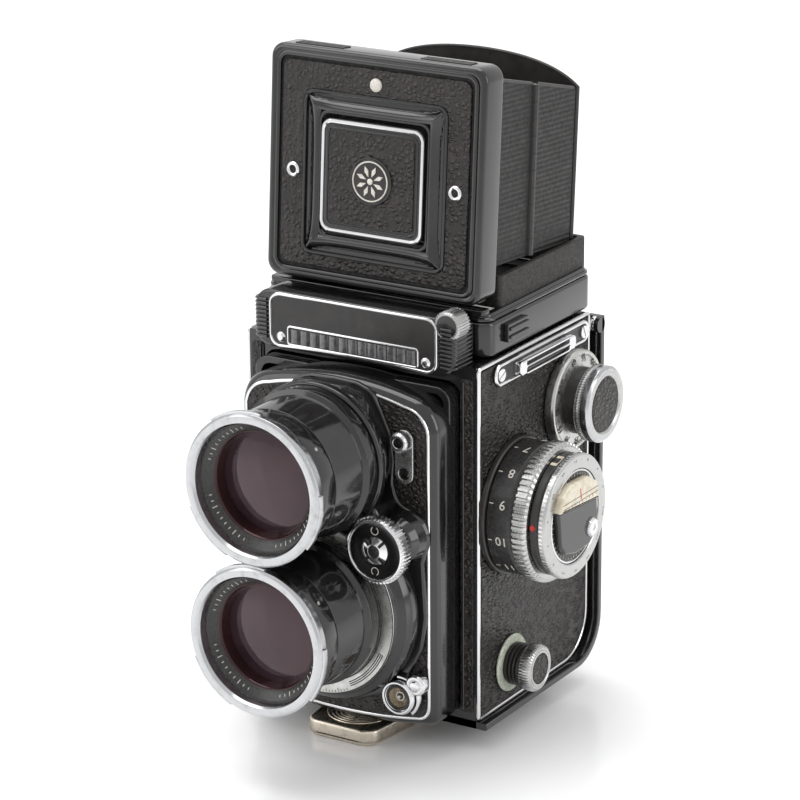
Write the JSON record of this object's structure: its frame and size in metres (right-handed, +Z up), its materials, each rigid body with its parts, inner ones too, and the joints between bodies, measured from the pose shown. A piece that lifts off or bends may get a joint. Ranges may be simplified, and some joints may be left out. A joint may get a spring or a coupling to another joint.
{
  "type": "twin lens reflex camera",
  "caption": "Upright roll film camera with a viewing lens above a taking lens, both long-barrelled, a side focusing knob with a meter dial, a folding crank and an open waist-level hood.",
  "frame": {"origin": "on the underside of the tripod seat, 8 mm behind the tripod socket's centre, in the camera's middle plane", "axes": "+X towards the focusing knob, -Y along the lens axes, out of the front, +Z up"},
  "size_m": [0.1136, 0.1273, 0.2015],
  "materials": {
    "black_paint": "semi-gloss black enamel",
    "leatherette": "fine pebble grain",
    "chrome": "satin and bright plating",
    "nickel": "warm brushed plating",
    "aluminium": "fine turned",
    "lens_glass": "coated lens",
    "window_glass": "clear",
    "cell_window": "ribbed frosted",
    "screen_glass": "ground glass",
    "mirror": "front silvered",
    "red_paint": "matt"
  },
  "bodies": {
    "camera_body": {"body_casting": "black_paint", "side_cover_right": "leatherette", "side_cover_left": "leatherette", "viewfinder_mirror": "mirror", "focusing_screen": "screen_glass", "film_gate": "black_paint", "focus_flange": "black_paint", "meter_head": "black_paint", "meter_window": "window_glass", "strap_lug_right": "chrome", "strap_lug_left": "chrome", "meter_housing": "black_paint", "meter_cell_window": "cell_window", "hood_frame": "black_paint"},
    "lens_standard": {"standard_box": "black_paint", "front_plate": "black_paint", "shutter_housing": "black_paint", "taking_barrel": "black_paint", "taking_bezel": "chrome", "taking_lens": "lens_glass", "viewing_barrel": "black_paint", "viewing_bezel": "chrome", "viewing_lens": "lens_glass", "flash_socket": "chrome"},
    "focus_drive": {"focus_ring": "chrome", "focus_shaft": "chrome"},
    "film_speed_dial": {"film_speed_dial": "aluminium"},
    "film_speed_knob": {"film_speed_knob": "chrome"},
    "meter_needle": {"meter_needle": "red_paint"},
    "counter_dial": {"counter_dial": "aluminium"},
    "upper_spool_knob": {"upper_spool_knob": "chrome"},
    "lower_spool_knob": {"lower_spool_knob": "chrome"},
    "crank": {"crank_arm": "chrome", "crank_gear": "aluminium"},
    "crank_grip": {"crank_grip": "black_paint"},
    "take_up": {"take_up_spool": "black_paint", "take_up_gear": "aluminium"},
    "film_roller_lower": {"film_roller_lower": "chrome"},
    "film_roller_upper": {"film_roller_upper": "chrome"},
    "finder_thumbwheel": {"finder_thumbwheel": "chrome"},
    "shutter_speed_wheel": {"shutter_speed_wheel": "chrome"},
    "aperture_wheel": {"aperture_wheel": "chrome"},
    "sync_lever": {"sync_lever": "chrome"},
    "socket_lock_lever": {"socket_lock_lever": "chrome"},
    "release_button": {"release_button": "chrome"},
    "release_lock_collar": {"release_lock_collar": "chrome"},
    "hood_catch_right": {"hood_catch_right": "black_paint"},
    "hood_catch_left": {"hood_catch_left": "black_paint"},
    "hood_lid": {"hood_lid": "leatherette"},
    "finder_flap": {"finder_flap": "leatherette"},
    "magnifier": {"magnifier": "black_paint"},
    "hood_wall_front_right": {"hood_wall_front_right": "black_paint"},
    "hood_wall_rear_right": {"hood_wall_rear_right": "black_paint"},
    "hood_wall_front_left": {"hood_wall_front_left": "black_paint"},
    "hood_wall_rear_left": {"hood_wall_rear_left": "black_paint"},
    "hood_rear_wall": {"hood_rear_wall": "black_paint"},
    "back_door": {"back_door": "leatherette", "tripod_seat": "nickel"},
    "pressure_plate": {"pressure_plate": "black_paint"},
    "bottom_latch": {"bottom_latch": "nickel"}
  },
  "joints": [
    {"name": "standard_slide", "type": "slide", "parent": "camera_body", "child": "lens_standard", "axis": [0, -1, 0], "range_m": [-0.0069, 0.001]},
    {"name": "focus_turn", "type": "hinge", "parent": "camera_body", "child": "focus_drive", "pos_m": [0, -0.019, 0.0709], "axis": [1, 0, 0], "range_deg": [-38, 262]},
    {"name": "film_speed_turn", "type": "hinge", "parent": "camera_body", "child": "film_speed_dial", "pos_m": [0, -0.019, 0.0709], "axis": [1, 0, 0], "range_deg": [-150, 150]},
    {"name": "film_speed_knob_turn", "type": "hinge", "parent": "camera_body", "child": "film_speed_knob", "pos_m": [0, -0.0123, 0.0659], "axis": [1, 0, 0], "range_deg": [-375, 375]},
    {"name": "needle_swing", "type": "hinge", "parent": "camera_body", "child": "meter_needle", "pos_m": [0, -0.0195, 0.0749], "axis": [1, 0, 0], "range_deg": [-30, 30], "stiffness_Nm_per_rad": 0.00001},
    {"name": "counter_turn", "type": "hinge", "parent": "camera_body", "child": "counter_dial", "pos_m": [0, 0.0133, 0.0941], "axis": [1, 0, 0], "continuous": true},
    {"name": "upper_knob_pull", "type": "slide", "parent": "camera_body", "child": "upper_spool_knob", "axis": [1, 0, 0], "range_m": [0, 0.006], "stiffness_N_per_m": 300},
    {"name": "lower_knob_pull", "type": "slide", "parent": "camera_body", "child": "lower_spool_knob", "axis": [1, 0, 0], "range_m": [0, 0.006], "stiffness_N_per_m": 300},
    {"name": "crank_turn", "type": "hinge", "parent": "camera_body", "child": "crank", "pos_m": [0, -0.004, 0.0672], "axis": [1, 0, 0], "continuous": true},
    {"name": "crank_grip_fold", "type": "hinge", "parent": "crank", "child": "crank_grip", "pos_m": [-0.0484, -0.004, 0.0428], "axis": [0, -1, 0], "range_deg": [0, 90]},
    {"name": "take_up_turn", "type": "hinge", "parent": "camera_body", "child": "take_up", "pos_m": [0, 0.0133, 0.0941], "axis": [1, 0, 0], "continuous": true},
    {"name": "film_roller_lower_turn", "type": "hinge", "parent": "camera_body", "child": "film_roller_lower", "pos_m": [0, 0.0204, 0.0138], "axis": [1, 0, 0], "continuous": true},
    {"name": "film_roller_upper_turn", "type": "hinge", "parent": "camera_body", "child": "film_roller_upper", "pos_m": [0, 0.0232, 0.0809], "axis": [1, 0, 0], "continuous": true},
    {"name": "thumbwheel_turn", "type": "hinge", "parent": "camera_body", "child": "finder_thumbwheel", "pos_m": [0.0312, 0, 0.1296], "axis": [0, 1, 0], "range_deg": [-90, 90]},
    {"name": "shutter_speed_turn", "type": "hinge", "parent": "lens_standard", "child": "shutter_speed_wheel", "pos_m": [0.0227, 0, 0.06895], "axis": [0, 1, 0], "range_deg": [-110, 110]},
    {"name": "aperture_turn", "type": "hinge", "parent": "lens_standard", "child": "aperture_wheel", "pos_m": [-0.0227, 0, 0.06895], "axis": [0, 1, 0], "range_deg": [-90, 90]},
    {"name": "sync_lever_swing", "type": "hinge", "parent": "lens_standard", "child": "sync_lever", "pos_m": [0.0238, 0, 0.0878], "axis": [0, 1, 0], "range_deg": [0, 30]},
    {"name": "socket_lock_swing", "type": "hinge", "parent": "lens_standard", "child": "socket_lock_lever", "pos_m": [0.0229, 0, 0.02], "axis": [0, -1, 0], "range_deg": [0, 25]},
    {"name": "release_press", "type": "slide", "parent": "lens_standard", "child": "release_button", "axis": [0, 1, 0], "range_m": [0, 0.003], "stiffness_N_per_m": 400},
    {"name": "release_lock_turn", "type": "hinge", "parent": "lens_standard", "child": "release_lock_collar", "pos_m": [-0.0255, 0, 0.023], "axis": [0, 1, 0], "range_deg": [0, 45]},
    {"name": "hood_catch_right_slide", "type": "slide", "parent": "camera_body", "child": "hood_catch_right", "axis": [0, 1, 0], "range_m": [0, 0.002], "stiffness_N_per_m": 250},
    {"name": "hood_catch_left_slide", "type": "slide", "parent": "camera_body", "child": "hood_catch_left", "axis": [0, 1, 0], "range_m": [0, 0.002], "stiffness_N_per_m": 250},
    {"name": "hood_lid_fold", "type": "hinge", "parent": "camera_body", "child": "hood_lid", "pos_m": [0, -0.025, 0.1435], "axis": [-1, 0, 0], "range_deg": [0, 86], "deforming": ["hood_wall_front_right", "hood_wall_rear_right", "hood_wall_front_left", "hood_wall_rear_left", "hood_rear_wall"]},
    {"name": "finder_flap_open", "type": "hinge", "parent": "hood_lid", "child": "finder_flap", "pos_m": [0, -0.03329, 0.14969], "axis": [1, 0, 0], "range_deg": [-60, 0]},
    {"name": "magnifier_swing", "type": "hinge", "parent": "hood_lid", "child": "magnifier", "pos_m": [0, -0.02632, 0.1877], "axis": [-1, 0, 0], "range_deg": [0, 90]},
    {"name": "wall_front_right_fold", "type": "hinge", "parent": "hood_lid", "child": "hood_wall_front_right", "pos_m": [0.033, -0.026, 0.14357], "axis": [0, 0.0698, 0.9976], "range_deg": [0, 90]},
    {"name": "wall_rear_right_fold", "type": "hinge", "parent": "hood_wall_front_right", "child": "hood_wall_rear_right", "pos_m": [0.0339, -0.00056, 0.14179], "axis": [0, 0.0698, 0.9976], "range_deg": [-180, 0]},
    {"name": "wall_front_left_fold", "type": "hinge", "parent": "hood_lid", "child": "hood_wall_front_left", "pos_m": [-0.033, -0.026, 0.14357], "axis": [0, 0.0698, 0.9976], "range_deg": [-90, 0]},
    {"name": "wall_rear_left_fold", "type": "hinge", "parent": "hood_wall_front_left", "child": "hood_wall_rear_left", "pos_m": [-0.0339, -0.00056, 0.14179], "axis": [0, 0.0698, 0.9976], "range_deg": [0, 180]},
    {"name": "rear_wall_fold", "type": "hinge", "parent": "hood_wall_rear_left", "child": "hood_rear_wall", "pos_m": [-0.033, 0.02488, 0.14001], "axis": [0, 0.0698, 0.9976], "range_deg": [-90, 0]},
    {"name": "back_door_open", "type": "hinge", "parent": "camera_body", "child": "back_door", "pos_m": [0, 0.0287, 0.1129], "axis": [1, 0, 0], "range_deg": [0, 100]},
    {"name": "pressure_plate_press", "type": "slide", "parent": "back_door", "child": "pressure_plate", "axis": [0, 1, 0], "range_m": [0, 0.0007], "stiffness_N_per_m": 300},
    {"name": "bottom_latch_swing", "type": "hinge", "parent": "back_door", "child": "bottom_latch", "pos_m": [0, -0.028, 0.0044], "axis": [1, 0, 0], "range_deg": [0, 35]}
  ],
  "couplings": [
    {"joint": "focus_turn", "follows": "standard_slide", "rad_per_m": -662.25},
    {"joint": "film_speed_knob_turn", "follows": "film_speed_turn", "ratio": 2.5},
    {"joint": "take_up_turn", "follows": "crank_turn", "ratio": -1.6667},
    {"joint": "magnifier_swing", "follows": "hood_lid_fold", "ratio": 1.0465},
    {"joint": "wall_front_right_fold", "follows": "hood_lid_fold", "ratio": 1.0465},
    {"joint": "wall_rear_right_fold", "follows": "hood_lid_fold", "ratio": -2.093},
    {"joint": "wall_front_left_fold", "follows": "hood_lid_fold", "ratio": -1.0465},
    {"joint": "wall_rear_left_fold", "follows": "hood_lid_fold", "ratio": 2.093},
    {"joint": "rear_wall_fold", "follows": "hood_lid_fold", "ratio": -1.0465}
  ]
}
